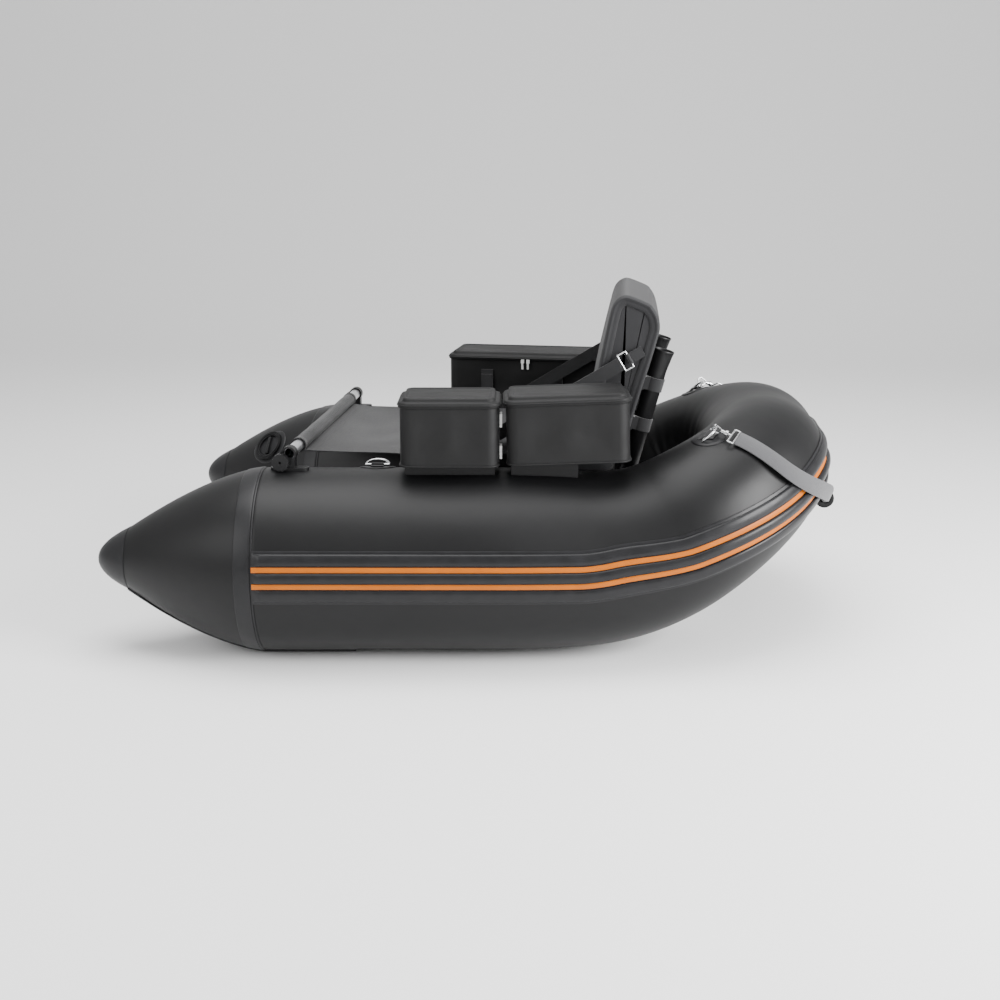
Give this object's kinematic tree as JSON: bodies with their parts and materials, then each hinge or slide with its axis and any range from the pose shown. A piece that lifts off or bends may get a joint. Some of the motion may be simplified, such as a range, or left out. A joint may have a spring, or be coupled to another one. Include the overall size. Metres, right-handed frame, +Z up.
{
  "type": "inflatable fishing float boat",
  "caption": "Inflatable belly boat: U-shaped tube hull with pointed bows, tilting backrest, rod holders, front bar with apron, lidded tackle boxes and a stern carrying strap.",
  "frame": {"origin": "middle of the footprint, at the height of the keel strips' undersides", "axes": "+X towards the bow, +Y to port, +Z up"},
  "size_m": [1.638, 1.1806, 0.7752],
  "materials": {
    "hull_skin": "matte PVC-coated fabric",
    "strake_pvc": "satin extruded PVC",
    "stripe_pvc": "satin coloured PVC",
    "moulded": "matt moulded plastic",
    "valve_core": "grey moulded plastic",
    "steel": "plated steel wire",
    "alloy": "anodised tube",
    "mesh_fabric": "woven mesh fabric",
    "back_fabric": "coated woven fabric",
    "webbing": "woven webbing",
    "box_foam": "matte laminated EVA foam",
    "light_plastic": "light moulded plastic"
  },
  "bodies": {
    "hull": {"port_tube": "hull_skin", "starboard_tube": "hull_skin", "stern_bulkhead": "hull_skin", "port_bow_cone": "hull_skin", "starboard_bow_cone": "hull_skin", "tip_caps": "strake_pvc", "cone_seam_bands": "hull_skin", "rub_strake": "strake_pvc", "strake_stripes": "stripe_pvc", "keel_strips": "strake_pvc", "port_valve_body": "moulded", "starboard_valve_body": "moulded", "port_valve_spring": "steel", "starboard_valve_spring": "steel", "front_bar": "alloy", "bar_brackets": "moulded", "apron": "mesh_fabric", "seat_sling": "hull_skin", "seat_cushion": "hull_skin", "port_back_strap": "webbing", "starboard_back_strap": "webbing", "strap_anchors": "hull_skin", "box_pads": "box_foam", "bow_box": "box_foam", "mid_box": "box_foam", "long_box": "box_foam", "box_webbing": "webbing", "box_tie_buckles": "light_plastic", "ring_patches": "hull_skin", "stern_rings": "steel", "port_snap_hook": "steel", "starboard_snap_hook": "steel", "carry_strap": "webbing", "carry_grip": "box_foam"},
    "backrest": {"backrest": "back_fabric", "port_rod_holder": "moulded", "starboard_rod_holder": "moulded", "rod_holder_sleeves": "webbing", "back_ring_tabs": "webbing"},
    "port_back_ring": {"port_back_ring": "steel"},
    "port_bar_knob": {"port_bar_knob": "moulded"},
    "port_valve_cap": {"port_valve_cap": "moulded"},
    "port_valve_plunger": {"port_valve_plunger": "valve_core"},
    "port_bow_ring": {"port_bow_ring": "steel"},
    "port_hook_gate": {"port_hook_gate": "steel"},
    "starboard_back_ring": {"starboard_back_ring": "steel"},
    "starboard_bar_knob": {"starboard_bar_knob": "moulded"},
    "starboard_valve_cap": {"starboard_valve_cap": "moulded"},
    "starboard_valve_plunger": {"starboard_valve_plunger": "valve_core"},
    "starboard_bow_ring": {"starboard_bow_ring": "steel"},
    "starboard_hook_gate": {"starboard_hook_gate": "steel"},
    "bow_box_lid": {"bow_box_lid": "box_foam"},
    "bow_box_fore_pull": {"bow_box_fore_pull": "light_plastic"},
    "bow_box_aft_pull": {"bow_box_aft_pull": "light_plastic"},
    "mid_box_lid": {"mid_box_lid": "box_foam"},
    "mid_box_fore_pull": {"mid_box_fore_pull": "light_plastic"},
    "mid_box_aft_pull": {"mid_box_aft_pull": "light_plastic"},
    "long_box_lid": {"long_box_lid": "box_foam"},
    "long_box_fore_pull": {"long_box_fore_pull": "light_plastic"},
    "long_box_aft_pull": {"long_box_aft_pull": "light_plastic"}
  },
  "joints": [
    {"name": "backrest_tilt", "type": "hinge", "parent": "hull", "child": "backrest", "pos_m": [-0.23658, 0, 0.4469], "axis": [0, 1, 0], "range_deg": [0, 70], "deforming": ["port_back_strap", "starboard_back_strap"]},
    {"name": "port_back_ring_swing", "type": "hinge", "parent": "backrest", "child": "port_back_ring", "pos_m": [-0.33615, 0.2275, 0.63315], "axis": [0.515, 0, 0.8572], "range_deg": [-8, 0]},
    {"name": "starboard_back_ring_swing", "type": "hinge", "parent": "backrest", "child": "starboard_back_ring", "pos_m": [-0.33615, -0.2275, 0.63315], "axis": [-0.515, 0, -0.8572], "range_deg": [-8, 0]},
    {"name": "port_bar_knob_turn", "type": "hinge", "parent": "hull", "child": "port_bar_knob", "pos_m": [0.40542, 0.38705, 0.425], "axis": [0, 1, 0], "continuous": true},
    {"name": "starboard_bar_knob_turn", "type": "hinge", "parent": "hull", "child": "starboard_bar_knob", "pos_m": [0.40542, -0.38705, 0.425], "axis": [0, -1, 0], "continuous": true},
    {"name": "port_valve_cap_turn", "type": "hinge", "parent": "hull", "child": "port_valve_cap", "pos_m": [0.60944, 0.28446, 0.31125], "axis": [0.4625, -0.6192, 0.6346], "continuous": true},
    {"name": "starboard_valve_cap_turn", "type": "hinge", "parent": "hull", "child": "starboard_valve_cap", "pos_m": [0.60944, -0.28446, 0.31125], "axis": [0.4625, 0.6192, 0.6346], "continuous": true},
    {"name": "port_valve_plunger_press", "type": "slide", "parent": "hull", "child": "port_valve_plunger", "axis": [-0.4625, 0.6192, -0.6346], "range_m": [0, 0.004], "stiffness_N_per_m": 200, "deforming": ["port_valve_spring"]},
    {"name": "starboard_valve_plunger_press", "type": "slide", "parent": "hull", "child": "starboard_valve_plunger", "axis": [-0.4625, -0.6192, -0.6346], "range_m": [0, 0.004], "stiffness_N_per_m": 200, "deforming": ["starboard_valve_spring"]},
    {"name": "bow_box_lid_open", "type": "hinge", "parent": "hull", "child": "bow_box_lid", "pos_m": [0.03665, 0.42912, 0.5533], "axis": [-0.9962, -0.0872, 0], "range_deg": [0, 110]},
    {"name": "mid_box_lid_open", "type": "hinge", "parent": "hull", "child": "mid_box_lid", "pos_m": [-0.21108, 0.40745, 0.56076], "axis": [-0.9956, -0.0871, 0.0349], "range_deg": [0, 110]},
    {"name": "long_box_lid_open", "type": "hinge", "parent": "hull", "child": "long_box_lid", "pos_m": [-0.08887, -0.41814, 0.5533], "axis": [0.9962, -0.0872, 0], "range_deg": [0, 110]},
    {"name": "bow_box_fore_pull_slide", "type": "slide", "parent": "hull", "child": "bow_box_fore_pull", "axis": [0.9962, 0.0872, 0], "range_m": [0, 0.061]},
    {"name": "bow_box_aft_pull_slide", "type": "slide", "parent": "hull", "child": "bow_box_aft_pull", "axis": [-0.9962, -0.0872, 0], "range_m": [0, 0.061]},
    {"name": "mid_box_fore_pull_slide", "type": "slide", "parent": "hull", "child": "mid_box_fore_pull", "axis": [0.9956, 0.0871, -0.0349], "range_m": [0, 0.087]},
    {"name": "mid_box_aft_pull_slide", "type": "slide", "parent": "hull", "child": "mid_box_aft_pull", "axis": [-0.9956, -0.0871, 0.0349], "range_m": [0, 0.087]},
    {"name": "long_box_fore_pull_slide", "type": "slide", "parent": "hull", "child": "long_box_fore_pull", "axis": [0.9962, -0.0872, 0], "range_m": [0, 0.157]},
    {"name": "long_box_aft_pull_slide", "type": "slide", "parent": "hull", "child": "long_box_aft_pull", "axis": [-0.9962, 0.0872, 0], "range_m": [0, 0.157]},
    {"name": "port_bow_ring_swing", "type": "hinge", "parent": "hull", "child": "port_bow_ring", "pos_m": [0.20748, 0.32375, 0.40836], "axis": [-0.9962, -0.0872, 0], "range_deg": [-10, 110]},
    {"name": "starboard_bow_ring_swing", "type": "hinge", "parent": "hull", "child": "starboard_bow_ring", "pos_m": [0.20748, -0.32375, 0.40836], "axis": [0.9962, -0.0872, 0], "range_deg": [-10, 110]},
    {"name": "port_hook_gate_open", "type": "hinge", "parent": "hull", "child": "port_hook_gate", "pos_m": [-0.53357, 0.31831, 0.49963], "axis": [0.4266, 0.8179, -0.386], "range_deg": [0, 16], "stiffness_Nm_per_rad": 0.02},
    {"name": "starboard_hook_gate_open", "type": "hinge", "parent": "hull", "child": "starboard_hook_gate", "pos_m": [-0.53357, -0.31831, 0.49963], "axis": [-0.4266, 0.8179, 0.386], "range_deg": [0, 16], "stiffness_Nm_per_rad": 0.02}
  ]
}
